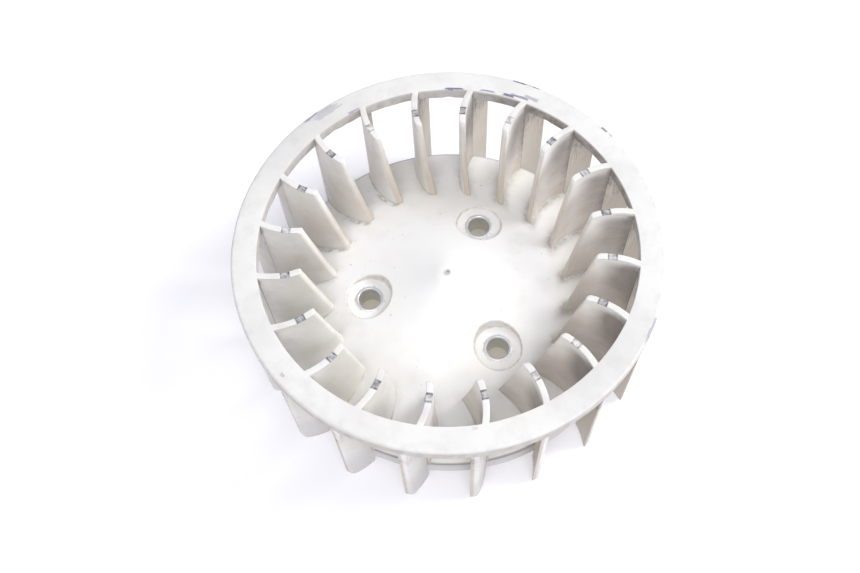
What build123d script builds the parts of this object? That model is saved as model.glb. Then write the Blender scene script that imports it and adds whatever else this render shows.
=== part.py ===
from build123d import *
import os
from math import cos, hypot, radians, sin

# A small engine's cooling fan, the wheel that bolts to the face of the flywheel. It is one plastic
# moulding, written here as its back plate, its ring of blades and its shroud ring, with three steel
# sleeves in its bolt holes. Z is the crankshaft's axis and the intake side is up. Z = 0 is the plane
# that the blade feet stand on.

# ---- Driving dimensions, mm ----------------------------------------------------------------------

# Overall
WHEEL_D = 120.0  # outside of the shroud ring
WHEEL_H = 45.0  # blade feet to the top of the shroud ring

# Shroud ring, which ties the blades together round the intake eye
EYE_D = 105.8  # bore of the ring
SHROUD_BORE_T = 4.0  # thickness at the bore
SHROUD_RIM_T = 4.2  # thickness at the outside
SHROUD_TOP_ROUND = 0.8  # rounding of the outer top edge

# Back plate: a rounded nose, a hollow dish and a straight cone out to a short skirt
PLATE_D = EYE_D  # the mould opens straight through the eye, so the plate just fills it
PLATE_WALL = 2.5  # measured straight down
RIM_Z = 11.1  # top edge of the rim
SKIRT_FOOT_Z = 5.5  # lower edge of the skirt
SKIRT_T = 2.5
CONE_D = 69.4  # where the dish turns into the cone
CONE_Z = 15.3  # height of the top surface there
DISH_R = 130.0  # curve of the dish, tangent to the cone
NOSE_Z = 27.7  # highest point of the nose
GATE_D = 1.8  # stub of the moulding gate on the nose
GATE_H = 0.3

# Bolt bosses
BOLT_COUNT = 3
BOLT_CIRCLE_D = 48.0
FIRST_BOLT_ANGLE = 65.5
RECESS_D = 14.0  # clears the flange of an M6 bolt
RECESS_FLOOR_Z = 16.0
RECESS_RIM_ROUND = 0.4
BOSS_WALL = 2.0  # round the recess
BOSS_FACE_Z = 9.0  # face towards the flywheel

# Steel sleeves
SLEEVE_BORE_D = 6.5  # clears an M6 bolt
SLEEVE_OD = 8.3
SLEEVE_CHAMFER = 0.3
SLEEVE_PROUD_TOP = 0.4  # above the recess floor
SLEEVE_PROUD_FOOT = 0.2  # below the boss face, so that steel meets steel
SLEEVE_FIT = 0.0  # radial gap round the sleeve: a press fit, drawn line to line

# Ribs under the plate
RIB_T = 1.8
RIB_SET_BACK = 0.8  # from the boss face up to the ribs' lower edges

# Blades
BLADE_COUNT = 20
FIRST_BLADE_ANGLE = 75.4  # direction of the first blade's arc centre
BLADE_T = 1.8
BLADE_ARC_R = 21.2  # centreline in plan
BLADE_ARC_CENTRE_R = 49.6  # from the wheel's axis to the centre of that arc
BLADE_EDGE_INSET = 0.25  # from the outside of the shroud ring in to the blades' outer edges
BLADE_TIP_D = 81.4  # across the inner corners of the blades' tops
BLADE_TIP_DROP = 1.2  # upright edge below each of those corners
BLADE_TIP_ROUND = 0.8
BLADE_FOOT_ROUND = 1.6  # outer lower corner

# ---- Derived places ------------------------------------------------------------------------------

wheel_r = WHEEL_D / 2
eye_r = EYE_D / 2
plate_r = PLATE_D / 2
cone_r = CONE_D / 2
bolt_circle_r = BOLT_CIRCLE_D / 2
boss_r = RECESS_D / 2 + BOSS_WALL
skirt_bore_r = plate_r - SKIRT_T
rib_end_r = plate_r - SKIRT_T / 2
half_wall = PLATE_WALL / 2
past_the_nose = NOSE_Z  # a height that reaches past the nose from any level of the plate
blade_edge_r = wheel_r - BLADE_EDGE_INSET
blade_tip_r = BLADE_TIP_D / 2
sleeve_foot_z = BOSS_FACE_Z - SLEEVE_PROUD_FOOT
sleeve_top_z = RECESS_FLOOR_Z + SLEEVE_PROUD_TOP
bolt_angles = [FIRST_BOLT_ANGLE + 360 * i / BOLT_COUNT for i in range(BOLT_COUNT)]


def shroud_underside_z(r):
    """Height of the shroud ring's slightly tapered underside at radius r."""
    share = (r - eye_r) / (wheel_r - eye_r)
    return WHEEL_H - SHROUD_BORE_T - share * (SHROUD_RIM_T - SHROUD_BORE_T)


def cone_z(r):
    """Height of the plate's top surface on the cone, or on its line carried on, at radius r."""
    return CONE_Z + (r - cone_r) * (RIM_Z - CONE_Z) / (plate_r - cone_r)


def dome_curve(outer_r, drop):
    """Draws the plate's top surface from outer_r in to the axis, lowered by drop.

    The dish is tangent to the cone, and the nose is tangent to the dish and level at the axis.
    """
    run, rise = plate_r - cone_r, CONE_Z - RIM_Z
    slant = hypot(run, rise)
    dish_x = cone_r + DISH_R * rise / slant
    dish_z = CONE_Z + DISH_R * run / slant
    nose_to_dish = dish_z - NOSE_Z
    nose_r = (dish_x**2 + nose_to_dish**2 - DISH_R**2) / (2 * (DISH_R - nose_to_dish))
    nose_centre_z = NOSE_Z - nose_r
    reach = nose_r / (nose_r + DISH_R)
    join_x = dish_x * reach
    join_z = nose_centre_z + (dish_z - nose_centre_z) * reach
    half_x = join_x / 2
    half_z = nose_centre_z + (nose_r**2 - half_x**2) ** 0.5
    mid_x = (cone_r + join_x) / 2
    mid_z = dish_z - (DISH_R**2 - (dish_x - mid_x) ** 2) ** 0.5
    Line((outer_r, cone_z(outer_r) - drop), (cone_r, CONE_Z - drop))
    ThreePointArc((cone_r, CONE_Z - drop), (mid_x, mid_z - drop), (join_x, join_z - drop))
    ThreePointArc((join_x, join_z - drop), (half_x, half_z - drop), (0, NOSE_Z - drop))


def save(piece, name):
    """Labels a finished piece and writes it."""
    piece.part.label = name
    export_step(piece.part, f"parts/{name}.step")


os.makedirs("parts", exist_ok=True)

# ---- Shroud ring ---------------------------------------------------------------------------------

with BuildPart() as shroud_ring:
    with BuildSketch(Plane.XZ) as shroud_section:
        with BuildLine():
            Polyline(
                (eye_r, WHEEL_H),
                (eye_r, shroud_underside_z(eye_r)),
                (wheel_r, shroud_underside_z(wheel_r)),
                (wheel_r, WHEEL_H),
                close=True,
            )
        make_face()
        outer_top = shroud_section.vertices().sort_by_distance((wheel_r, WHEEL_H))[0]
        fillet(outer_top, SHROUD_TOP_ROUND)
    revolve(axis=Axis.Z)
save(shroud_ring, "shroud_ring")

# ---- Back plate ----------------------------------------------------------------------------------

# Everything under the middle of the plate's wall, which trims the bosses and ribs to the dome
with BuildPart() as under_dome:
    with BuildSketch(Plane.XZ):
        with BuildLine():
            dome_curve(rib_end_r, half_wall)
            Polyline(
                (0, NOSE_Z - half_wall),
                (0, BOSS_FACE_Z),
                (rib_end_r, BOSS_FACE_Z),
                (rib_end_r, cone_z(rib_end_r) - half_wall),
            )
        make_face()
    revolve(axis=Axis.Z)

with BuildPart() as bosses:
    with BuildSketch(Plane.XY.offset(BOSS_FACE_Z)):
        with PolarLocations(bolt_circle_r, BOLT_COUNT, start_angle=FIRST_BOLT_ANGLE):
            Circle(boss_r)
    extrude(amount=past_the_nose)
    add(under_dome.part, mode=Mode.INTERSECT)

with BuildPart() as ribs:
    with BuildSketch(Plane.XY.offset(BOSS_FACE_Z + RIB_SET_BACK)):
        Circle(bolt_circle_r + RIB_T / 2)
        Circle(bolt_circle_r - RIB_T / 2, mode=Mode.SUBTRACT)
        with PolarLocations(bolt_circle_r, 2 * BOLT_COUNT, start_angle=FIRST_BOLT_ANGLE):
            Rectangle(plate_r - bolt_circle_r, RIB_T, align=(Align.MIN, Align.CENTER))
    extrude(amount=past_the_nose)
    add(under_dome.part, mode=Mode.INTERSECT)

with BuildPart() as back_plate:
    with BuildSketch(Plane.XZ):
        with BuildLine():
            dome_curve(plate_r, 0)
            Line((0, NOSE_Z), (0, NOSE_Z - PLATE_WALL))
            dome_curve(skirt_bore_r, PLATE_WALL)
            Polyline(
                (skirt_bore_r, cone_z(skirt_bore_r) - PLATE_WALL),
                (skirt_bore_r, SKIRT_FOOT_Z),
                (plate_r, SKIRT_FOOT_Z),
                (plate_r, RIM_Z),
            )
        make_face()
    revolve(axis=Axis.Z)
    add(bosses.part)
    add(ribs.part)
    with BuildSketch(Plane.XY.offset(RECESS_FLOOR_Z)):
        with PolarLocations(bolt_circle_r, BOLT_COUNT, start_angle=FIRST_BOLT_ANGLE):
            Circle(RECESS_D / 2)
    extrude(amount=past_the_nose, mode=Mode.SUBTRACT)
    walls = back_plate.faces(Select.LAST).filter_by(GeomType.CYLINDER)
    recess_rims = [wall.edges().sort_by(Axis.Z)[-1] for wall in walls]
    fillet(recess_rims, RECESS_RIM_ROUND)
    with BuildSketch(Plane.XY.offset(BOSS_FACE_Z)):
        with PolarLocations(bolt_circle_r, BOLT_COUNT, start_angle=FIRST_BOLT_ANGLE):
            Circle(SLEEVE_OD / 2 + SLEEVE_FIT)
    extrude(amount=past_the_nose, mode=Mode.SUBTRACT)
    with BuildSketch(Plane.XY.offset(NOSE_Z - half_wall)):
        Circle(GATE_D / 2)
    extrude(amount=half_wall + GATE_H)
save(back_plate, "back_plate")

# ---- Sleeves -------------------------------------------------------------------------------------

with BuildPart() as sleeve_shape:
    with BuildSketch(Plane.XY.offset(sleeve_foot_z)):
        Circle(SLEEVE_OD / 2)
        Circle(SLEEVE_BORE_D / 2, mode=Mode.SUBTRACT)
    extrude(amount=sleeve_top_z - sleeve_foot_z)
    ends = sleeve_shape.faces().filter_by(Plane.XY)
    bore_edges = [end.edges().sort_by(SortBy.RADIUS)[0] for end in ends]
    chamfer(bore_edges, SLEEVE_CHAMFER)

for number, angle in enumerate(bolt_angles, start=1):
    with BuildPart() as sleeve:
        x = bolt_circle_r * cos(radians(angle))
        y = bolt_circle_r * sin(radians(angle))
        with Locations((x, y)):
            add(sleeve_shape.part)
    save(sleeve, f"sleeve_{number}")

# ---- Blades --------------------------------------------------------------------------------------

# The outline that every blade has seen from the side, swept round the axis. It meets the plate's cone,
# the skirt and the shroud ring face to face.
with BuildPart() as blade_outline:
    with BuildSketch(Plane.XZ) as side_view:
        with BuildLine():
            Polyline(
                (plate_r, 0),
                (blade_edge_r, 0),
                (blade_edge_r, shroud_underside_z(blade_edge_r)),
                (eye_r, shroud_underside_z(eye_r)),
                (eye_r, WHEEL_H),
                (blade_tip_r, WHEEL_H),
                (blade_tip_r, WHEEL_H - BLADE_TIP_DROP),
                (cone_r, CONE_Z),
                (plate_r, RIM_Z),
                close=True,
            )
        make_face()
        corners = side_view.vertices()
        fillet(corners.sort_by_distance((blade_edge_r, 0))[0], BLADE_FOOT_ROUND)
        corners = side_view.vertices()
        fillet(corners.sort_by_distance((blade_tip_r, WHEEL_H))[0], BLADE_TIP_ROUND)
    revolve(axis=Axis.Z)

# One blade, with the centre of its arc on the X axis. Its outer end sweeps back clockwise.
with BuildPart() as blade_shape:
    with BuildSketch():
        with Locations((BLADE_ARC_CENTRE_R, 0)):
            Circle(BLADE_ARC_R + BLADE_T / 2)
            Circle(BLADE_ARC_R - BLADE_T / 2, mode=Mode.SUBTRACT)
        Rectangle(WHEEL_D, WHEEL_D, align=(Align.MIN, Align.MIN), mode=Mode.INTERSECT)
    extrude(amount=WHEEL_H)
    add(blade_outline.part, mode=Mode.INTERSECT)

for number in range(1, BLADE_COUNT + 1):
    turn = FIRST_BLADE_ANGLE + 360 * (number - 1) / BLADE_COUNT
    with BuildPart() as blade:
        add(blade_shape.part.rotate(Axis.Z, turn))
    save(blade, f"blade_{number:02d}")
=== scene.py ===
from functools import reduce
from math import acos, cos, pi, radians, sin, sqrt
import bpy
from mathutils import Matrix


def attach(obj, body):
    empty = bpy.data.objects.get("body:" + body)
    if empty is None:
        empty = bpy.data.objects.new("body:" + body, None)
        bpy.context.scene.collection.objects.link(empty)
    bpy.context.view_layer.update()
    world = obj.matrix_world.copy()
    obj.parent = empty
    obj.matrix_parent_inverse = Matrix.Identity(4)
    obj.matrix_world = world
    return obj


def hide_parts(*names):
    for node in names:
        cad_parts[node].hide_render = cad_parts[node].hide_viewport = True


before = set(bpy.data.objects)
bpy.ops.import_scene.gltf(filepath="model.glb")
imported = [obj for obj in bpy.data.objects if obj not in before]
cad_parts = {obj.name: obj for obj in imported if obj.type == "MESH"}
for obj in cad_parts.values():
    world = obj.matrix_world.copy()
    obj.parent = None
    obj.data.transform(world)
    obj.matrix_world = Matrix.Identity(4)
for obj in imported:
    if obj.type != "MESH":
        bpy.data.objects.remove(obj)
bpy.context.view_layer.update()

from types import SimpleNamespace

import bmesh
import bpy
from mathutils import Matrix, Vector, noise

MM = 0.001  # every size below is in mm, and a mesh is in metres
DEGREES = 180 / pi  # in one radian

# ---- Sizes of the moulding, the same as the CAD model's ------------------------------------------

WHEEL_H = 45.0
RING_OUTER_R = 60.0
PARTING_R = 52.9  # the bore of the ring, the rim of the plate, and the line where the mould opens
RING_UNDER_BORE_Z = 41.0
RING_UNDER_RIM_Z = 40.8
CONE_R = 34.7
CONE_Z = 15.3
RIM_Z = 11.1

BLADES = 20
BLADE_PITCH = 360 / BLADES
FIRST_BLADE_ANGLE = 75.4
BLADE_T = 1.8
ARC_R = 21.2
ARC_CENTRE_R = 49.6
TIP_R = 40.7
TIP_DROP = 1.2
TIP_ROUND = 0.8
EDGE_R = 59.75
FOOT_ROUND = 1.6

BOLTS = 3
BOLT_PITCH = 360 / BOLTS
BOLT_CIRCLE_R = 24.0
FIRST_BOLT_ANGLE = 65.5
RECESS_R = 7.0
SLEEVE_BORE_R = 3.25
SLEEVE_OUTER_R = 4.15
SLEEVE_CHAMFER = 0.3
SLEEVE_FOOT_Z = 8.8
SLEEVE_TOP_Z = 16.4

# ---- Sizes of the fine detail --------------------------------------------------------------------

ROOT_FILLET = 0.5
FILLET_FADE = 3.0  # how far from the leading edge the fillet reaches its full size
NOSE_ROUND = 0.85  # of the leading edge, on the outward curve
HOLLOW_NOSE_ROUND = 0.35  # and on the hollow side
CROWN_ROUND = 0.18  # of the top
TRAIL_ROUND = 0.35  # of the outer edge
SOLE_ROUND = 0.3  # of the foot
STEP = 0.05  # from the inner part of a face down to the outer part, at the parting line
PRINT_FROM = 44.0  # the ejector's print in the top
PRINT_TO = 46.7
PRINT_DEPTH = 0.1
PRINT_SINK = 0.3  # how far below the top the print still draws the faces down
KNOCK_DEPTH = 0.315  # of the dents in the ring's outer edge, where they are deepest
LIP_RIPPLE = 0.75  # of the rough lip under the ring's bore
SHARP_ANGLE = 38  # a sharper edge than this isn't smoothed
RING_STEPS = 480  # round the ring
SLEEVE_STEPS = 96
RELIEF_DEPTH = 0.0001  # of the plastic's grain and the sleeves' turning marks, in metres


# ---- Node tools ----------------------------------------------------------------------------------


class Wiring:
    """Adds nodes to a tree. An input that is another node's socket is linked, any other is a value."""

    def __init__(self, tree):
        self.tree = tree

    def feed(self, socket, source):
        if isinstance(source, bpy.types.NodeSocket):
            self.tree.links.new(source, socket)
        else:
            socket.default_value = source

    def add(self, kind, out=0, **inputs):
        """One output of a new node, whose inputs are given by name."""
        node = self.tree.nodes.new("ShaderNode" + kind)
        for name, value in inputs.items():
            self.feed(node.inputs[name], value)
        return node.outputs[out]

    def operate(self, node, operation, values):
        node.operation = operation
        for socket, value in zip(node.inputs, values):
            self.feed(socket, value)

    def math(self, operation, *values, clamp=False):
        node = self.tree.nodes.new("ShaderNodeMath")
        node.use_clamp = clamp
        self.operate(node, operation, values)
        return node.outputs[0]

    def plus(self, *values):
        return reduce(lambda first, second: self.math("ADD", first, second), values)

    def minus(self, first, second):
        return self.math("SUBTRACT", first, second)

    def times(self, *values):
        return reduce(lambda first, second: self.math("MULTIPLY", first, second), values)

    def line(self, value, slope, start):
        return self.math("MULTIPLY_ADD", value, slope, start)

    def length(self, vector):
        node = self.tree.nodes.new("ShaderNodeVectorMath")
        self.operate(node, "LENGTH", (vector,))
        return node.outputs["Value"]

    def stretch(self, vector, factors):
        node = self.tree.nodes.new("ShaderNodeVectorMath")
        self.operate(node, "MULTIPLY", (vector, factors))
        return node.outputs[0]

    def split(self, vector):
        node = self.tree.nodes.new("ShaderNodeSeparateXYZ")
        self.feed(node.inputs[0], vector)
        return node.outputs

    def ramp(self, value, low, high, start=0.0, end=1.0):
        """Goes smoothly from start to end while value goes from low to high."""
        node = self.tree.nodes.new("ShaderNodeMapRange")
        node.interpolation_type = "SMOOTHSTEP"
        for socket, fed in zip(node.inputs, (value, low, high, start, end)):
            self.feed(socket, fed)
        return node.outputs[0]

    def about(self, value, middle, near, far, start=1.0, end=0.0):
        """Start where value is within near of the middle, and end where it is past far."""
        return self.ramp(self.math("ABSOLUTE", self.minus(value, middle)), near, far, start, end)

    def mix(self, share, first, second):
        node = self.tree.nodes.new("ShaderNodeMix")
        node.data_type = "RGBA"
        for socket, fed in ((0, share), (6, first), (7, second)):
            self.feed(node.inputs[socket], fed)
        return node.outputs[2]

    def noise(self, place, scale, detail, rough):
        return self.add("TexNoise", "Fac", Vector=place, Scale=scale, Detail=detail, Roughness=rough)

    def luck(self, seed):
        """A random value that is the same wherever the seed is the same."""
        node = self.tree.nodes.new("ShaderNodeTexWhiteNoise")
        node.noise_dimensions = "1D"
        self.feed(node.inputs["W"], seed)
        return node.outputs["Value"]

    def group(self, tree, out, **inputs):
        """One or more named outputs of a group. An input's name has _ for each space."""
        node = self.tree.nodes.new("ShaderNodeGroup")
        node.node_tree = tree
        for name, value in inputs.items():
            self.feed(node.inputs[name.replace("_", " ")], value)
        if isinstance(out, str):
            return node.outputs[out]
        return [node.outputs[name] for name in out]


def new_group(name, inputs, outputs):
    """A shader group with named sockets, given as (name, kind, value) and (name, kind)."""
    tree = bpy.data.node_groups.new(name, "ShaderNodeTree")
    for label, kind, value in inputs:
        socket = tree.interface.new_socket(label, in_out="INPUT", socket_type="NodeSocket" + kind)
        socket.default_value = value
    for label, kind in outputs:
        tree.interface.new_socket(label, in_out="OUTPUT", socket_type="NodeSocket" + kind)
    source = tree.nodes.new("NodeGroupInput")
    sink = tree.nodes.new("NodeGroupOutput")
    return tree, Wiring(tree), source.outputs, sink.inputs


def new_material(name):
    material = bpy.data.materials.new(name)
    material.use_nodes = True
    tree = material.node_tree
    return material, Wiring(tree), tree.nodes["Principled BSDF"]


# ---- Effects that the materials share ------------------------------------------------------------


def make_wheel_place():
    """Where a point is on the wheel: radius and height in mm, angle in degrees, and the blade's own
    side (mm from its middle, plus on the outward curve) and number."""
    outs = [("Place", "Vector"), ("Radius", "Float"), ("Angle", "Float"), ("Height", "Float"),
            ("Side", "Float"), ("Blade", "Float")]
    tree, w, _, sink = new_group("wheel place", [], outs)
    place = w.stretch(w.add("TexCoord", "Object"), (1 / MM, 1 / MM, 1 / MM))
    x, y, height = w.split(place)
    radius = w.length(w.stretch(place, (1, 1, 0)))
    angle = w.times(w.math("ARCTAN2", y, x), DEGREES)
    # the blades' middle line bends away from each one's own direction as on_blade has it
    upper = w.plus(w.times(radius, radius), ARC_CENTRE_R**2 - ARC_R**2)
    bend = w.math("ARCCOSINE", w.math("DIVIDE", upper, w.times(radius, 2 * ARC_CENTRE_R)))
    turned = w.minus(angle, w.times(bend, DEGREES))
    count = w.math("DIVIDE", w.minus(turned, FIRST_BLADE_ANGLE), BLADE_PITCH)
    number = w.math("ROUND", count)
    off = w.times(w.minus(count, number), radians(BLADE_PITCH))
    w.feed(sink["Place"], place)
    w.feed(sink["Radius"], radius)
    w.feed(sink["Angle"], angle)
    w.feed(sink["Height"], height)
    w.feed(sink["Side"], w.times(off, radius))
    w.feed(sink["Blade"], w.math("FLOORED_MODULO", number, float(BLADES)))
    return tree


def make_aged_ivory():
    """The moulded plastic itself: an off-white that has yellowed and greyed in soft patches."""
    ins = [("Place", "Vector", (0, 0, 0)), ("Stain", "Float", 1.0), ("Clean", "Color", (0.8, 0.8, 0.8, 1)),
           ("Yellowed", "Color", (0.8, 0.7, 0.6, 1)), ("Greyed", "Color", (0.6, 0.6, 0.6, 1))]
    outs = [("Color", "Color"), ("Roughness", "Float"), ("Grain", "Float")]
    tree, w, source, sink = new_group("aged ivory", ins, outs)
    place, stain = source["Place"], source["Stain"]
    broad = w.ramp(w.noise(place, 0.05, 3, 0.5), 0.40, 0.68)
    patches = w.ramp(w.noise(place, 0.17, 4, 0.55), 0.47, 0.70)
    flecks = w.ramp(w.noise(place, 0.9, 3, 0.7), 0.58, 0.74)
    colour = w.mix(w.times(broad, stain), source["Clean"], source["Yellowed"])
    colour = w.mix(w.times(patches, 0.75, stain), colour, source["Greyed"])
    colour = w.mix(w.times(flecks, 0.35, stain), colour, source["Greyed"])
    fine = w.noise(place, 5.0, 2, 0.6)
    waves = w.noise(place, 0.35, 2, 0.5)
    w.feed(sink["Color"], colour)
    w.feed(sink["Roughness"], w.plus(w.ramp(waves, 0.3, 0.7, 0.36, 0.46), w.times(fine, 0.10)))
    w.feed(sink["Grain"], w.plus(w.times(fine, 0.35), w.times(waves, 0.65)))
    return tree


def make_scuff():
    """A patch of rubbed-off dark marks on the ring, drawn out along the turning direction."""
    ins = [("Radius", "Float", 0.0), ("Angle", "Float", 0.0), ("Height", "Float", 0.0),
           ("At Angle", "Float", 0.0), ("Long", "Float", 3.0), ("At Radius", "Float", 56.0),
           ("Wide", "Float", 1.0), ("Amount", "Float", 1.0)]
    tree, w, source, sink = new_group("scuff", ins, [("Mask", "Float")])
    radius, height = source["Radius"], source["Height"]
    turn = w.math("WRAP", w.minus(source["Angle"], source["At Angle"]), 180.0, -180.0)
    along = w.times(turn, PARTING_R / DEGREES)
    across = w.minus(radius, source["At Radius"])
    far = w.math("ABSOLUTE", w.math("DIVIDE", along, source["Long"]))
    off = w.math("ABSOLUTE", w.math("DIVIDE", across, source["Wide"]))
    inside = w.math("SUBTRACT", 1.0, w.math("MAXIMUM", far, off), clamp=True)
    drawn_out = w.add("CombineXYZ", X=w.times(along, 0.30), Y=w.times(radius, 1.7), Z=height)
    torn = w.noise(drawn_out, 1.0, 3, 0.65)
    edge = w.ramp(w.plus(torn, w.times(inside, 0.75)), 0.72, 0.86)
    # a mark stays on the top and only bends over the rounded outer edge
    lowest = w.ramp(radius, 57.0, 58.5, WHEEL_H - 0.9, WHEEL_H - 1.35)
    on_top = w.ramp(height, lowest, w.plus(lowest, 0.6))
    w.feed(sink["Mask"], w.times(edge, w.ramp(inside, 0.0, 0.18), on_top, source["Amount"]))
    return tree


# ---- Colours -------------------------------------------------------------------------------------

CLEAN = (0.885, 0.875, 0.855, 1)
YELLOWED = (0.80, 0.785, 0.72, 1)
GREYED = (0.76, 0.745, 0.715, 1)
PLATE_CLEAN = (0.865, 0.87, 0.875, 1)
WORN_CLEAN = (0.75, 0.75, 0.75, 1)  # the ring and the blades' tops, rubbed duller than the rest
WORN_YELLOWED = (0.715, 0.71, 0.685, 1)
WORN_GREYED = (0.60, 0.595, 0.585, 1)

GRIME = (0.20, 0.175, 0.15, 1)
# painted shade near the blades' roots: a broad one, and one with soot in the corners
BROAD_ROOT_SHADE = (0.50, 0.485, 0.455, 1)
ROOT_SOOT_AND_SHADE = (0.34, 0.32, 0.295, 1)
SMEAR = (0.24, 0.225, 0.21, 1)
# painted shade on the rim's outer face, and a darker painted line of shade at its edge
RIM_SHADE = (0.43, 0.42, 0.44, 1)
RIM_EDGE_SHADE = (0.19, 0.18, 0.18, 1)
GATE_HALO = (0.42, 0.385, 0.35, 1)
GATE_PIP = (0.17, 0.14, 0.12, 1)
# dust and painted shade on the walls of the bolt recesses
RECESS_DUST_AND_SHADE = (0.52, 0.455, 0.385, 1)
UNDERSIDE_BROWN = (0.60, 0.53, 0.42, 1)

# dirt and painted shade on the blades' faces, heaviest on the hollow side
TAN_FILM_AND_SHADE = (0.47, 0.41, 0.355, 1)
HOLLOW_SOOT_AND_SHADE = (0.265, 0.235, 0.215, 1)
BRUSHED_DIRT = (0.22, 0.195, 0.175, 1)
# painted shade on the feet, and scrapes with painted contact shadow along their soles
FOOT_SHADE = (0.50, 0.49, 0.50, 1)
SOLE_DIRT_AND_SHADOW = (0.25, 0.23, 0.22, 1)
LEADING_DUST = (0.60, 0.525, 0.45, 1)
OUTER_TAN = (0.56, 0.51, 0.415, 1)
STREAK_DIRT = (0.15, 0.14, 0.13, 1)
# dirt and painted shade in the corner under the ring
CORNER_DIRT_AND_SHADE = (0.21, 0.195, 0.185, 1)
FILLET_DIRT = (0.42, 0.38, 0.335, 1)
BANKED_DIRT = (0.19, 0.175, 0.165, 1)
PARTING_DIRT = (0.12, 0.105, 0.095, 1)
PRINT_STAIN = (0.12, 0.12, 0.15, 1)

# a brown film with painted shade on the ring's sides
RING_FILM_AND_SHADE = (0.46, 0.42, 0.38, 1)
CAKED_DIRT = (0.17, 0.135, 0.12, 1)
SMUDGE = (0.44, 0.44, 0.445, 1)
INK = (0.13, 0.13, 0.24, 1)
ZINC_BRIGHT = (0.90, 0.92, 0.96, 1)
ZINC_DULL = (0.64, 0.68, 0.66, 1)
PAPER = (0.83, 0.835, 0.87, 1)
# painted warm light on the floor under the wheel
PAINTED_WARM_LIGHT_UNDER_WHEEL = (1.0, 0.90, 0.68, 1)
GLOW_IN_THE_OPEN = (0.91, 0.90, 1.0, 1)


# ---- Finishes ------------------------------------------------------------------------------------


def plastic_body(shader):
    """The settings that every plastic piece has in common."""
    shader.inputs["IOR"].default_value = 1.49
    shader.inputs["Specular IOR Level"].default_value = 0.5


def dress(w, shader, colour, roughness, relief, strength):
    """Feeds a finish to its shader."""
    w.feed(shader.inputs["Base Color"], colour)
    w.feed(shader.inputs["Roughness"], roughness)
    bumped = w.add("Bump", "Normal", Height=relief, Strength=strength, Distance=RELIEF_DEPTH)
    w.feed(shader.inputs["Normal"], bumped)


def dirt_and_shade_at_roots(w, place, radius, angle, side, colour):
    """Dirt and painted shade on the plate beside the blades' roots."""
    # soot and painted shade in the corners, most of it on one side of the wheel, which has a broader
    # painted shade over it too
    most = w.about(angle, 15.0, 30.0, 70.0, 0.90, 0.20)
    broad_shade = w.times(w.ramp(radius, 31.0, 44.0), w.ramp(most, 0.20, 0.90, 0.0, 0.38))
    colour = w.mix(broad_shade, colour, BROAD_ROOT_SHADE)
    cloud = w.ramp(w.noise(place, 0.30, 4, 0.65), 0.30, 0.62, 0.25, 1.0)
    beside = w.about(side, 0.0, 0.9, 4.4)
    soot_and_shade = w.times(beside, w.ramp(radius, 32.0, 36.0), cloud, most)
    colour = w.mix(soot_and_shade, colour, ROOT_SOOT_AND_SHADE)
    # smears that trail from the roots on the other side
    trail = w.times(w.about(side, 1.5, 0.2, 1.6), w.about(angle, 138.0, 24.0, 40.0))
    reach = w.times(w.ramp(radius, 33.8, 35.2), w.ramp(radius, 40.0, 46.0, 1.0, 0.0))
    scribble = w.ramp(w.noise(place, 0.50, 2, 0.6), 0.40, 0.62)
    return w.mix(w.times(trail, reach, scribble, 0.6), colour, SMEAR)


def shade_on_rim(w, radius, angle, height, colour):
    """Painted shade on the rim's outer face, and a darker line of painted shade along the rim's edge,
    mostly at the front.
    """
    rim = w.ramp(radius, PARTING_R - 0.5, PARTING_R - 0.05)
    colour = w.mix(w.times(rim, w.ramp(height, RIM_Z, RIM_Z - 3.5, 0.72, 0.54)), colour, RIM_SHADE)
    edge = w.times(w.about(height, RIM_Z, 0.12, 0.30), w.ramp(radius, 52.0, 52.6))
    at_front = w.about(angle, -90.0, 50.0, 80.0, 0.6, 0.15)
    return w.mix(w.times(edge, at_front), colour, RIM_EDGE_SHADE)


def dust_and_shade_in_recesses(w, place, radius, angle, colour):
    """Dust and painted shade on the walls of the bolt recesses, and crumbs of dirt round the sleeves."""
    turn = w.math("WRAP", w.minus(angle, FIRST_BOLT_ANGLE), BOLT_PITCH / 2, -BOLT_PITCH / 2)
    turn = w.math("RADIANS", turn)
    outward = w.minus(w.times(radius, w.math("COSINE", turn)), BOLT_CIRCLE_R)
    across = w.times(radius, w.math("SINE", turn))
    bolt_r = w.math("SQRT", w.plus(w.times(outward, outward), w.times(across, across)))
    wall_dust_and_shade = w.ramp(w.noise(place, 0.5, 4, 0.7), 0.35, 0.65, 0.15, 0.55)
    colour = w.mix(w.times(w.about(bolt_r, RECESS_R, 0.1, 0.55), wall_dust_and_shade), colour, RECESS_DUST_AND_SHADE)
    crumbs = w.ramp(w.noise(place, 1.4, 3, 0.7), 0.55, 0.68)
    round_sleeve = w.about(bolt_r, SLEEVE_OUTER_R + 0.15, 0.1, 0.8)
    return w.mix(w.times(round_sleeve, crumbs, 0.6), colour, GRIME)


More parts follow.
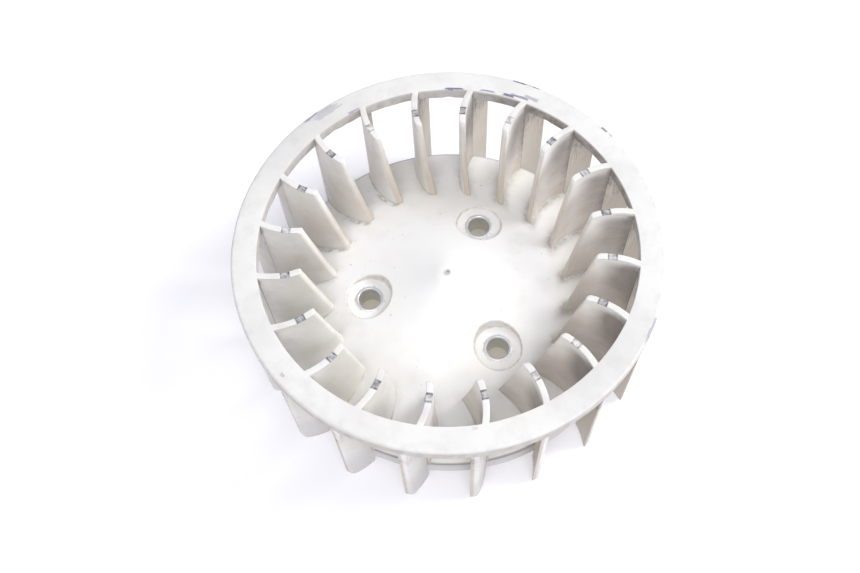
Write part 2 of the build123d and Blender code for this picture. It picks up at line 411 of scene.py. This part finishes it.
def plate_plastic(groups):
    material, w, shader = new_material("plate plastic")
    plastic_body(shader)
    place, radius, angle, height, side = w.group(
        groups["wheel place"], ("Place", "Radius", "Angle", "Height", "Side"))
    stain = w.ramp(radius, 6.0, 30.0, 0.05, 0.45)
    colour, roughness, grain = w.group(
        groups["aged ivory"], ("Color", "Roughness", "Grain"), Place=place, Stain=stain,
        Clean=PLATE_CLEAN, Yellowed=YELLOWED, Greyed=GREYED)
    colour = dirt_and_shade_at_roots(w, place, radius, angle, side, colour)
    colour = shade_on_rim(w, radius, angle, height, colour)
    # the gate's scar on the nose
    colour = w.mix(w.ramp(radius, 0.45, 1.5, 0.75, 0.0), colour, GATE_HALO)
    colour = w.mix(w.ramp(radius, 0.1, 0.6, 0.85, 0.0), colour, GATE_PIP)
    colour = dust_and_shade_in_recesses(w, place, radius, angle, colour)
    # the underside is browner, in patches
    upward = w.split(w.add("TexCoord", "Normal"))[2]
    underside_patches = w.ramp(w.noise(place, 0.16, 4, 0.6), 0.30, 0.70, 0.25, 0.68)
    colour = w.mix(w.times(w.ramp(upward, 0.15, -0.35), underside_patches), colour, UNDERSIDE_BROWN)
    # odd specks all over
    speck = w.ramp(w.noise(place, 0.9, 1, 0.5), 0.775, 0.80)
    colour = w.mix(w.times(speck, 0.55), colour, GRIME)
    dress(w, shader, colour, roughness, grain, 0.25)
    return material


def blade_spot(w, groups):
    """Where a point is on a blade, and on which of its faces, as masks."""
    place, radius, angle, height, side, blade = w.group(
        groups["wheel place"], ("Place", "Radius", "Angle", "Height", "Side", "Blade"))
    hollow = w.ramp(side, 0.3, -0.3)
    outside = w.ramp(radius, PARTING_R - 0.1, PARTING_R + 0.1)
    # grimy: the hollow faces on the lower right, which get the most dirt and painted shade
    return SimpleNamespace(
        place=place, radius=radius, angle=angle, height=height, blade=blade,
        hollow=hollow, outside=outside, inner=w.minus(1.0, outside),
        grimy_and_shaded=w.times(w.about(angle, -24.0, 18.0, 50.0), hollow))


def film_and_shade_on_blade(w, at, colour):
    """A tan film, partly road dirt and partly painted shade: thicker low down and outward, and on the
    hollow side of the blade.
    """
    cloud = w.ramp(w.noise(at.place, 0.11, 2, 0.5), 0.36, 0.64)
    low = w.ramp(at.height, 44.8, 30.0, 0.0, 0.34)
    outward = w.ramp(at.radius, 42.0, 54.0, 0.0, 0.18)
    film_and_shade = w.times(w.plus(low, outward), w.line(cloud, 0.2, 0.78))
    one_side = w.about(at.angle, 152.0, 22.0, 38.0, 0.62, 0.0)
    share = w.plus(w.line(at.hollow, 1.70, 0.05), one_side, w.times(at.grimy_and_shaded, 0.55))
    film_and_shade = w.math("MULTIPLY", film_and_shade, share, clamp=True)
    film_and_shade = w.times(film_and_shade, w.line(at.outside, -0.35, 1.0))
    colour = w.mix(film_and_shade, colour, TAN_FILM_AND_SHADE)
    # darker in the middle of the hollow side: soot and painted shade
    upper = w.times(w.ramp(at.height, 44.5, 40.0), w.ramp(at.height, 15.0, 37.0))
    soot_and_shade = w.times(upper, w.ramp(at.radius, 41.5, 49.5), w.ramp(cloud, 0.0, 1.0, 0.66, 0.80))
    soot_and_shade = w.times(soot_and_shade, at.hollow, at.inner)
    soot_and_shade = w.math("MULTIPLY", soot_and_shade, w.line(at.grimy_and_shaded, 0.55, 1.0), clamp=True)
    return w.mix(soot_and_shade, colour, HOLLOW_SOOT_AND_SHADE), film_and_shade


def brushed_lines(w, at, colour):
    """Fine lines of dirt that the air has brushed along the blade."""
    brushed = w.add("CombineXYZ", X=w.times(at.radius, 0.22), Y=w.times(at.height, 2.4),
                    Z=w.times(at.blade, 5.1))
    lined = w.ramp(w.noise(brushed, 1.0, 3, 0.6), 0.48, 0.68)
    lined = w.times(lined, w.ramp(at.radius, 43.0, 51.0), at.inner, w.line(at.hollow, 0.24, 0.08))
    return w.mix(lined, colour, BRUSHED_DIRT)


def shaded_foot(w, at, colour):
    """The foot outside the plate gets a painted grey shade, heavier low down, and a dark band of scrapes
    and painted contact shadow along its sole.
    """
    foot = w.times(at.outside, w.ramp(at.height, 20.0, 9.0, 0.18, 0.48))
    colour = w.mix(foot, colour, FOOT_SHADE)
    sole_patches = w.ramp(w.noise(at.place, 0.5, 3, 0.6), 0.35, 0.6, 0.2, 0.75)
    return w.mix(w.times(w.ramp(at.height, 0.75, 0.2), sole_patches), colour, SOLE_DIRT_AND_SHADOW)


def dusty_leading_edge(w, at, colour):
    """The leading edge meets the dust first."""
    lean = (TIP_R - CONE_R) / (WHEEL_H - TIP_DROP - CONE_Z)
    above_cone = w.math("MAXIMUM", w.minus(at.height, CONE_Z), 0.0)
    lead_r = w.math("MINIMUM", w.line(above_cone, lean, CONE_R), TIP_R)
    dust = w.ramp(w.minus(at.radius, lead_r), 0.15, 0.75, 1.0, 0.0)
    dust = w.times(dust, w.ramp(at.height, 44.0, 42.4), w.ramp(at.height, 40.0, 17.0, 0.35, 0.9))
    dust = w.times(dust, w.about(at.angle, 50.0, 70.0, 110.0, 1.0, 0.15))
    return w.mix(dust, colour, LEADING_DUST)


def streaked_outer_part(w, at, colour):
    """Upright streaks on the outer part, below the ring, with the ridges that they lie in."""
    colour = w.mix(w.times(at.outside, w.line(at.hollow, 0.60, 0.04)), colour, OUTER_TAN)
    upright = w.add("CombineXYZ", X=w.times(at.radius, 2.9), Y=w.times(at.height, 0.13),
                    Z=w.times(at.blade, 7.3))
    drawn = w.ramp(w.noise(upright, 1.0, 4, 0.7), 0.43, 0.58)
    hung = w.times(w.ramp(at.height, 22.0, 41.5, 0.05, 0.95), w.line(at.hollow, 0.55, 0.45))
    patchy = w.ramp(w.noise(at.place, 0.28, 3, 0.6), 0.38, 0.58, 0.40, 1.0)
    colour = w.mix(w.times(drawn, at.outside, hung, patchy), colour, STREAK_DIRT)
    # dirt and painted shade, thickest in the corner between the ring and the parting line
    corner = w.times(w.ramp(at.radius, 56.5, 53.2), w.ramp(at.height, 31.0, 40.5))
    colour = w.mix(w.times(corner, at.outside, at.hollow, 0.5), colour, CORNER_DIRT_AND_SHADE)
    ridges = w.times(w.noise(upright, 1.6, 2, 0.5), at.outside, 0.6)
    return colour, ridges


def lodged_dirt(w, at, colour):
    """Dirt lodged in the fillet at the root, and against the line where the mould opened."""
    fall = (RIM_Z - CONE_Z) / (PARTING_R - CONE_R)
    root_z = w.line(w.minus(at.radius, CONE_R), fall, CONE_Z)
    in_fillet = w.times(w.ramp(w.minus(at.height, root_z), 0.9, 0.1), at.inner)
    crumbly = w.ramp(w.noise(at.place, 0.35, 3, 0.6), 0.35, 0.65, 0.25, 0.60)
    colour = w.mix(w.times(in_fillet, crumbly), colour, FILLET_DIRT)
    # banked up against the parting line, on the inner part
    inside = w.minus(PARTING_R, at.radius)
    spread = w.ramp(at.height, 43.0, 26.0, w.line(at.grimy_and_shaded, 4.0, 1.5), 2.9)
    banked = w.times(w.ramp(inside, 0.0, spread, 1.0, 0.0), w.ramp(inside, -0.12, 0.0))
    banked = w.times(banked, w.ramp(at.height, 44.6, 43.2), w.ramp(at.height, 11.0, 30.0))
    ragged = w.ramp(w.noise(at.place, 0.6, 4, 0.7), 0.36, 0.60, 0.30, 0.95)
    colour = w.mix(w.times(banked, ragged, w.line(at.hollow, 0.7, 0.2)), colour, BANKED_DIRT)
    # and a thin line of it on the parting line itself
    line = w.times(w.about(inside, 0.0, 0.0, 0.16), w.ramp(at.height, RIM_Z - 0.6, RIM_Z + 0.2))
    return w.mix(w.times(line, w.ramp(at.height, 44.9, 44.0), 0.85), colour, PARTING_DIRT)


def worn_top(w, groups, at, colour):
    """The top is rubbed like the ring, and the ejector's print on it has taken a stain."""
    on_top = w.ramp(at.height, WHEEL_H - 0.45, WHEEL_H - 0.2)
    worn = w.group(groups["aged ivory"], "Color", Place=at.place, Stain=0.8, Clean=WORN_CLEAN,
                   Yellowed=WORN_YELLOWED, Greyed=WORN_GREYED)
    colour = w.mix(on_top, colour, worn)
    from_middle = w.math("ABSOLUTE", w.minus(at.radius, (PRINT_FROM + PRINT_TO) / 2))
    in_print = w.ramp(from_middle, 1.25, 1.45, 1.0, 0.0)
    edges = w.about(from_middle, 1.1, 0.10, 0.40)
    blotch = w.ramp(w.noise(at.place, 0.85, 3, 0.7), 0.40, 0.62)
    evenly = w.ramp(w.luck(at.blade), 0.2, 0.8, 0.05, 0.42)
    stain = w.plus(w.times(blotch, 0.45), w.times(edges, 0.3), evenly)
    stain = w.math("MULTIPLY", w.times(stain, in_print), on_top, clamp=True)
    return w.mix(stain, colour, PRINT_STAIN)


def blade_plastic(groups):
    material, w, shader = new_material("blade plastic")
    plastic_body(shader)
    at = blade_spot(w, groups)
    colour, roughness, grain = w.group(
        groups["aged ivory"], ("Color", "Roughness", "Grain"), Place=at.place, Stain=0.8, Clean=CLEAN,
        Yellowed=YELLOWED, Greyed=GREYED)
    colour, film_and_shade = film_and_shade_on_blade(w, at, colour)
    colour = brushed_lines(w, at, colour)
    colour = shaded_foot(w, at, colour)
    colour = dusty_leading_edge(w, at, colour)
    colour, ridges = streaked_outer_part(w, at, colour)
    colour = lodged_dirt(w, at, colour)
    colour = worn_top(w, groups, at, colour)
    dress(w, shader, colour, w.plus(roughness, w.times(film_and_shade, 0.12)), w.plus(grain, ridges), 0.3)
    return material


# angle, half its length, radius, half its width, amount
SCUFFS = (
    (131.5, 4.0, 59.3, 0.8, 0.55),
    (126.5, 4.5, 58.8, 0.7, 0.35),
    (127.0, 6.5, 57.6, 1.5, 0.28),
    (86.5, 4.0, 53.3, 0.6, 0.9),
    (75.5, 3.4, 53.6, 0.5, 0.7),
    (68.5, 2.6, 53.7, 0.8, 0.9),
    (65.0, 4.2, 54.3, 0.7, 0.7),
    (61.5, 3.5, 55.2, 0.9, 0.45),
    (67.0, 3.0, 59.7, 1.1, 0.95),
    (63.0, 4.0, 59.9, 0.9, 0.85),
    (38.0, 1.5, 59.4, 0.8, 0.8),
    (35.5, 0.9, 59.7, 0.6, 0.7),
    (-27.5, 5.0, 59.8, 0.9, 0.5),
    (-139.3, 1.1, 57.7, 0.8, 0.35),
    (-84.0, 1.2, 53.8, 0.7, 0.22),
    (120.0, 2.8, 53.3, 0.6, 0.5),
)


def ring_plastic(groups):
    material, w, shader = new_material("ring plastic")
    plastic_body(shader)
    place, radius, angle, height = w.group(
        groups["wheel place"], ("Place", "Radius", "Angle", "Height"))
    colour, roughness, grain = w.group(
        groups["aged ivory"], ("Color", "Roughness", "Grain"), Place=place, Stain=0.5, Clean=WORN_CLEAN,
        Yellowed=WORN_YELLOWED, Greyed=WORN_GREYED)
    # a brown film with painted shade everywhere but on the top, and dirt caked on one side of the bore
    below = w.ramp(height, WHEEL_H - 0.1, WHEEL_H - 1.2)
    cloud = w.ramp(w.noise(place, 0.35, 4, 0.6), 0.30, 0.70)
    film_and_shade = w.line(cloud, 0.4, w.ramp(radius, 55.0, 59.0, 0.30, 0.66))
    colour = w.mix(w.times(below, film_and_shade), colour, RING_FILM_AND_SHADE)
    in_bore = w.times(w.ramp(radius, 54.5, 53.2), w.line(cloud, 0.5, 0.5))
    caked = w.times(below, in_bore, w.about(angle, 40.0, 24.0, 44.0, 0.85, 0.0))
    colour = w.mix(caked, colour, CAKED_DIRT)
    # broad smudges, two of them heavier than the rest, and a broken, rubbed band at the outer edge
    smudge = w.ramp(w.noise(place, 0.10, 3, 0.55), 0.42, 0.70, 0.0, 0.13)
    heavy = w.math("MAXIMUM", w.about(angle, 138.0, 8.0, 30.0), w.about(angle, -42.0, 5.0, 30.0))
    edge = w.times(w.ramp(radius, 57.6, 59.6), w.ramp(w.noise(place, 0.45, 4, 0.7), 0.45, 0.65))
    shade = w.plus(smudge, w.times(heavy, 0.26), w.times(edge, 0.16))
    colour = w.mix(shade, colour, SMUDGE)
    rubbed = 0.0
    for at_angle, long, at_radius, wide, amount in SCUFFS:
        mark = w.group(groups["scuff"], "Mask", Radius=radius, Angle=angle, Height=height,
                       At_Angle=at_angle, Long=long, At_Radius=at_radius, Wide=wide, Amount=amount)
        rubbed = w.math("MAXIMUM", rubbed, mark)
    colour = w.mix(rubbed, colour, INK)
    dress(w, shader, colour, w.plus(roughness, w.times(rubbed, 0.15)), grain, 0.25)
    return material


def sleeve_zinc(groups):
    material, w, shader = new_material("bright zinc")
    shader.inputs["Metallic"].default_value = 1.0
    place, height = w.group(groups["wheel place"], ("Place", "Height"))
    turning_marks = w.noise(w.add("CombineXYZ", Z=w.times(height, 9.0)), 1.0, 3, 0.7)
    # duller and blotched below the rubbed upper edge
    tarnish = w.ramp(w.noise(place, 0.9, 4, 0.6), 0.35, 0.70, 0.4, 0.8)
    down = w.ramp(height, SLEEVE_TOP_Z - 0.25, SLEEVE_TOP_Z - 0.9)
    colour = w.mix(w.times(down, tarnish), ZINC_BRIGHT, ZINC_DULL)
    dress(w, shader, colour, w.ramp(turning_marks, 0.3, 0.7, 0.30, 0.48), turning_marks, 0.2)
    return material


# ---- Mesh tools ----------------------------------------------------------------------------------


def finish_piece(name, bm, material, node):
    """Makes an object of a mesh given in mm, which rides on the wheel and stands for its CAD node."""
    bmesh.ops.recalc_face_normals(bm, faces=bm.faces)
    for face in bm.faces:
        face.smooth = True
    mesh = bpy.data.meshes.new(name)
    bm.to_mesh(mesh)
    bm.free()
    mesh.transform(Matrix.Scale(MM, 4))
    mesh.set_sharp_from_angle(angle=radians(SHARP_ANGLE))
    mesh.materials.append(material)
    piece = bpy.data.objects.new(name, mesh)
    bpy.context.scene.collection.objects.link(piece)
    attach(piece, "root")
    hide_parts(node)


def fall_back(depth, radius):
    """How far a surface has fallen back at depth from an edge rounded to radius."""
    if depth >= radius:
        return 0.0
    return radius - sqrt(max(0.0, radius**2 - (radius - depth) ** 2))


def lathe(bm, section, steps, centre=(0.0, 0.0), wear=None):
    """Turns a closed section of (radius, height) points about an upright axis through centre."""
    rings = []
    for i in range(steps):
        turn = 2 * pi * i / steps
        ring = []
        for r, z in section:
            if wear:
                r, z = wear(r, z, turn)
            ring.append(bm.verts.new((centre[0] + r * cos(turn), centre[1] + r * sin(turn), z)))
        rings.append(ring)
    for i, ring in enumerate(rings):
        after = rings[(i + 1) % steps]
        for j in range(len(section)):
            k = (j + 1) % len(section)
            bm.faces.new((ring[j], after[j], after[k], ring[k]))


def rounded(corners, steps):
    """The closed section through corners, given as (radius, height, rounding)."""
    section = []
    for i, (r, z, rounding) in enumerate(corners):
        here = Vector((r, z))
        before = (Vector(corners[i - 1][:2]) - here).normalized()
        after = (Vector(corners[(i + 1) % len(corners)][:2]) - here).normalized()
        half = before.angle(after) / 2
        start = here + before * rounding / sin(half) * cos(half)
        end = here + after * rounding / sin(half) * cos(half)
        centre = here + (before + after).normalized() * rounding / sin(half)
        for step in range(steps + 1):
            arm = (start - centre).lerp(end - centre, step / steps).normalized() * rounding
            section.append(tuple(centre + arm))
    return section


def sheet(bm, lines, flip=False):
    """Joins lines of points, each to the next one, into a sheet."""
    for low, high in zip(lines, lines[1:]):
        for j in range(len(low) - 1):
            corners = (low[j], low[j + 1], high[j + 1], high[j])
            bm.faces.new(corners[::-1] if flip else corners)


def column(lines, j):
    """The point numbered j of each line."""
    return [line[j] for line in lines]


# ---- Blades --------------------------------------------------------------------------------------

ROOT_ROWS = (0, 0.04, 0.11, 0.21, 0.34, ROOT_FILLET)  # up from the plate
CROWN_ROWS = (1.2, 0.8, 0.5, 0.3, 0.18, 0.1, 0.045, 0.012, 0)  # down from the top
FACE_STEPS = 11  # rows between them
UNDER_RING_ROW = (41.6, RING_UNDER_BORE_Z)  # the last of those rows: its heights at its two ends
IN_RING_ROW = (42.7, 42.4)
LEAD_POINTS = (0.0, 0.03, 0.10, 0.21, HOLLOW_NOSE_ROUND, 0.56, NOSE_ROUND)  # in from the edge
LEAD_STEPS = 5  # from them to the first of the fixed radii
INNER_RADII = (43.2, 43.92, PRINT_FROM, 45.35, PRINT_TO, 46.78, 48.2, 49.7, 51.1, 52.2, 52.7, 52.87)
OUTER_RADII = (PARTING_R, 53.5, 54.8, 56.2, 57.4, 58.15, 58.7, 59.15, 59.4, 59.55, 59.66, 59.73, EDGE_R)
FOOT_ROWS = [0.0, 0.03, 0.1, 0.25, 0.6, 1.2, 2.4, 4.0, 5.5, 7.5, 9.5]  # up from the foot
UNDER_RING_OVERLAP = 0.1  # how far the inner part's end reaches into the ring


def leading_r(z):
    """Radius of a blade's leading edge at height z."""
    drop_z = WHEEL_H - TIP_DROP
    if z <= drop_z:
        return CONE_R + (z - CONE_Z) * (TIP_R - CONE_R) / (drop_z - CONE_Z)
    return TIP_R + fall_back(WHEEL_H - z, TIP_ROUND)


def blade_rows():
    """The rows of the inner part, as (height at the leading edge, height at the parting line)."""
    rows = [(CONE_Z + up, RIM_Z + up) for up in ROOT_ROWS]
    lead_low, part_low = rows[-1]
    lead_high, part_high = UNDER_RING_ROW
    for i in range(1, FACE_STEPS + 1):
        share = i / FACE_STEPS
        rows.append((lead_low + (lead_high - lead_low) * share, part_low + (part_high - part_low) * share))
    rows.append(IN_RING_ROW)
    rows += [(WHEEL_H - down, WHEEL_H - down) for down in CROWN_ROWS]
    return rows


def inner_half_t(in_from_lead, above_root, below_top, nose_round):
    """Half the blade's thickness on the inner part, on the side whose nose has that rounding."""
    half = BLADE_T / 2 - fall_back(in_from_lead, nose_round) - fall_back(below_top, CROWN_ROUND)
    return half + fall_back(above_root, ROOT_FILLET) * min(1.0, in_from_lead / FILLET_FADE)


def on_blade(r, z, t, turn):
    """The place of a point of a blade, from its radius, height and distance off the middle."""
    arc = ARC_R + t
    bend = acos((r * r + ARC_CENTRE_R**2 - arc * arc) / (2 * r * ARC_CENTRE_R))
    return Vector((r * cos(bend + turn), r * sin(bend + turn), z))


def inner_part(bm, rows, turn):
    """The outward and the hollow face inside the parting line, as lines of points from the root up."""
    front, back = [], []
    for lead_z, part_z in rows:
        lead = leading_r(lead_z)
        radii = [lead + point for point in LEAD_POINTS]
        gap = INNER_RADII[0] - radii[-1]
        radii += [radii[-1] + gap * i / LEAD_STEPS for i in range(1, LEAD_STEPS)]
        radii += INNER_RADII
        in_ring = part_z > RING_UNDER_BORE_Z + 0.2
        radii.append(PARTING_R + (UNDER_RING_OVERLAP if in_ring else 0.0))
        line_front, line_back = [], []
        for r in radii:
            z = lead_z + (part_z - lead_z) * min(1.0, (r - lead) / (PARTING_R - lead))
            if PRINT_FROM <= r <= PRINT_TO and z > WHEEL_H - PRINT_SINK:
                z -= (z - WHEEL_H + PRINT_SINK) * PRINT_DEPTH / PRINT_SINK
            thickness_at = (r - lead, lead_z - CONE_Z, WHEEL_H - lead_z)
            half = inner_half_t(*thickness_at, NOSE_ROUND)
            line_front.append(bm.verts.new(on_blade(r, z, half, turn)))
            half = inner_half_t(*thickness_at, HOLLOW_NOSE_ROUND)
            line_back.append(bm.verts.new(on_blade(r, z, -half, turn)))
        front.append(line_front)
        back.append(line_back)
    return front, back


def outer_part(bm, levels, turn):
    """The two faces outside the parting line, as lines of points from the foot up."""
    front, back = [], []
    for level in levels:
        line_front, line_back = [], []
        for r in OUTER_RADII:
            low = fall_back(EDGE_R - r, FOOT_ROUND)
            out = (r - PARTING_R) / (RING_OUTER_R - PARTING_R)
            high = RING_UNDER_BORE_Z - out * (RING_UNDER_BORE_Z - RING_UNDER_RIM_Z)
            z = low + level * (high - low) / RING_UNDER_BORE_Z
            half = BLADE_T / 2 - STEP - fall_back(EDGE_R - r, TRAIL_ROUND) - fall_back(level, SOLE_ROUND)
            line_front.append(bm.verts.new(on_blade(r, z, half, turn)))
            line_back.append(bm.verts.new(on_blade(r, z, -half, turn)))
        front.append(line_front)
        back.append(line_back)
    return front, back


def make_blade(number, material):
    turn = radians(FIRST_BLADE_ANGLE + BLADE_PITCH * (number - 1))
    bm = bmesh.new()
    rows = blade_rows()
    front, back = inner_part(bm, rows, turn)
    # the rows below the ring, which the outer part has too
    shared = [part_z for _, part_z in rows if part_z <= RING_UNDER_BORE_Z]
    outer_front, outer_back = outer_part(bm, FOOT_ROWS + shared, turn)
    at_rim = len(FOOT_ROWS)
    at_ring = len(shared) - 1
    sheet(bm, front)
    sheet(bm, back, flip=True)
    sheet(bm, outer_front)
    sheet(bm, outer_back, flip=True)
    sheet(bm, (front[0], back[0]))  # root
    sheet(bm, (front[-1], back[-1]))  # top
    sheet(bm, (column(front, 0), column(back, 0)))  # leading edge
    sheet(bm, (column(front[at_ring:], -1), column(back[at_ring:], -1)))  # end in the ring
    sheet(bm, (outer_front[0], outer_back[0]))  # foot
    sheet(bm, (outer_front[-1], outer_back[-1]))  # under the ring
    sheet(bm, (column(outer_front, -1), column(outer_back, -1)))  # outer edge
    sheet(bm, (column(outer_front[:at_rim + 1], 0), column(outer_back[:at_rim + 1], 0)))  # below the rim
    # the step at the parting line, on each face and at its two ends
    sheet(bm, (column(front[:at_ring + 1], -1), column(outer_front[at_rim:], 0)))
    sheet(bm, (column(back[:at_ring + 1], -1), column(outer_back[at_rim:], 0)))
    bm.faces.new((front[0][-1], outer_front[at_rim][0], outer_back[at_rim][0], back[0][-1]))
    bm.faces.new((front[at_ring][-1], outer_front[-1][0], outer_back[-1][0], back[at_ring][-1]))
    name = f"blade_{number:02d}"
    finish_piece(name + "_moulded", bm, material, name)


# ---- Shroud ring ---------------------------------------------------------------------------------


def ring_wear(r, z, turn):
    """Moves a point of the ring for small dents in its outer top edge and a rough lip below its bore."""
    if r > RING_OUTER_R - 0.9 and z > WHEEL_H - 1.0:
        here = Vector((RING_OUTER_R * cos(turn), RING_OUTER_R * sin(turn), z)) * 0.6
        dent = max(0.0, noise.noise(here) - 0.32) * KNOCK_DEPTH
        return r - dent, z - dent
    if r < PARTING_R + 0.3 and z < RING_UNDER_BORE_Z + 0.4:
        here = Vector((cos(turn), sin(turn), 0.3)) * 16
        roughness = 0.35 + 0.65 * max(0.0, min(1.0, sin(turn) * 0.9 + 0.2))
        return r, z + max(0.0, noise.noise(here) + 0.12) * LIP_RIPPLE * roughness
    return r, z


def make_ring(material):
    corners = (
        (PARTING_R, RING_UNDER_BORE_Z, 0.25),
        (RING_OUTER_R, RING_UNDER_RIM_Z, 0.35),
        (RING_OUTER_R, WHEEL_H, 0.8),
        (PARTING_R, WHEEL_H, 0.11),
    )
    bm = bmesh.new()
    lathe(bm, rounded(corners, 6), RING_STEPS, wear=ring_wear)
    finish_piece("shroud_ring_moulded", bm, material, "shroud_ring")


# ---- Sleeves -------------------------------------------------------------------------------------


def make_sleeve(number, material):
    angle = radians(FIRST_BOLT_ANGLE + BOLT_PITCH * (number - 1))
    centre = (BOLT_CIRCLE_R * cos(angle), BOLT_CIRCLE_R * sin(angle))
    corners = (
        (SLEEVE_BORE_R, SLEEVE_FOOT_Z + SLEEVE_CHAMFER, 0.06),
        (SLEEVE_BORE_R + SLEEVE_CHAMFER, SLEEVE_FOOT_Z, 0.06),
        (SLEEVE_OUTER_R, SLEEVE_FOOT_Z, 0.15),
        (SLEEVE_OUTER_R, SLEEVE_TOP_Z, 0.2),
        (SLEEVE_BORE_R + SLEEVE_CHAMFER, SLEEVE_TOP_Z, 0.06),
        (SLEEVE_BORE_R, SLEEVE_TOP_Z - SLEEVE_CHAMFER, 0.06),
    )
    bm = bmesh.new()
    lathe(bm, rounded(corners, 3), SLEEVE_STEPS, centre)
    finish_piece(f"sleeve_{number}_turned", bm, material, f"sleeve_{number}")


# ---- Camera, light and floor ---------------------------------------------------------------------

LENS = 40.19
SENSOR = 36  # its width, in mm like the lens
CAMERA_PLACE = Vector((0.0, -0.1302, 0.2760))
CAMERA_TURNS = (radians(-1.10), radians(-1.59), radians(1.67))  # about the camera's own Y, X and Z
FLOOR_SIZE = 12  # in metres


def place_camera():
    """Looks down on the wheel from the front, nearly centred on it."""
    data = bpy.data.cameras.new("camera")
    data.lens = LENS
    data.sensor_width = SENSOR
    camera = bpy.data.objects.new("camera", data)
    bpy.context.scene.collection.objects.link(camera)
    back = CAMERA_PLACE.normalized()
    right = Vector((1, 0, 0))
    up = back.cross(right)
    looking = Matrix((right, up, back))
    about_y, about_x, about_z = CAMERA_TURNS
    turned = Matrix.Rotation(about_z, 3, "Z") @ Matrix.Rotation(about_x, 3, "X")
    turned = turned @ Matrix.Rotation(about_y, 3, "Y") @ looking
    camera.matrix_world = Matrix.Translation(CAMERA_PLACE) @ turned.transposed().to_4x4()
    bpy.context.scene.camera = camera


def softbox(name, place, size, power, colour):
    """An area light at place, turned to the wheel."""
    data = bpy.data.lights.new(name, "AREA")
    data.shape = "DISK"
    data.size = size
    data.energy = power
    data.color = colour
    lamp = bpy.data.objects.new(name, data)
    lamp.location = place
    aim = Vector((0, 0, 0.02)) - Vector(place)
    lamp.rotation_euler = aim.to_track_quat("-Z", "Y").to_euler()
    bpy.context.scene.collection.objects.link(lamp)


def light_the_room(colour, strength):
    world = bpy.data.worlds.new("studio")
    bpy.context.scene.world = world
    world.use_nodes = True
    background = world.node_tree.nodes["Background"]
    background.inputs["Color"].default_value = (*colour, 1)
    background.inputs["Strength"].default_value = strength


def lay_floor():
    """A paper sweep that glows a little, and less and warmer where the wheel covers it: painted shade and
    painted warm light under the wheel.
    """
    bpy.ops.mesh.primitive_plane_add(size=FLOOR_SIZE)
    floor = bpy.context.object
    floor.name = "floor"
    paper, w, shader = new_material("white paper sweep")
    shader.inputs["Base Color"].default_value = PAPER
    shader.inputs["Roughness"].default_value = 0.7
    # a weaker, warmer glow under the wheel: painted shade with painted warm light
    clear = w.ramp(w.length(w.add("TexCoord", "Object")), 0.038, 0.050)
    w.feed(shader.inputs["Emission Color"], w.mix(clear, PAINTED_WARM_LIGHT_UNDER_WHEEL, GLOW_IN_THE_OPEN))
    w.feed(shader.inputs["Emission Strength"], w.ramp(clear, 0.0, 1.0, 0.17, 0.22))
    floor.data.materials.append(paper)


# ---- Build ---------------------------------------------------------------------------------------

bpy.context.scene.view_settings.view_transform = "Standard"
place_camera()
light_the_room(colour=(0.95, 0.945, 1.0), strength=0.47)
softbox("overhead", place=(-0.05, -0.60, 1.04), size=0.80, power=7.4, colour=(1.0, 0.99, 0.98))
softbox("main", place=(0.96, 0.27, 0.77), size=0.90, power=12.6, colour=(1.0, 0.985, 0.965))
lay_floor()

shared_effects = {
    "wheel place": make_wheel_place(),
    "aged ivory": make_aged_ivory(),
    "scuff": make_scuff(),
}

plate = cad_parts["back_plate"]
plate.data.materials.clear()
plate.data.materials.append(plate_plastic(shared_effects))

blade_finish = blade_plastic(shared_effects)
for blade_number in range(1, BLADES + 1):
    make_blade(blade_number, blade_finish)

make_ring(ring_plastic(shared_effects))

zinc = sleeve_zinc(shared_effects)
for sleeve_number in range(1, BOLTS + 1):
    make_sleeve(sleeve_number, zinc)
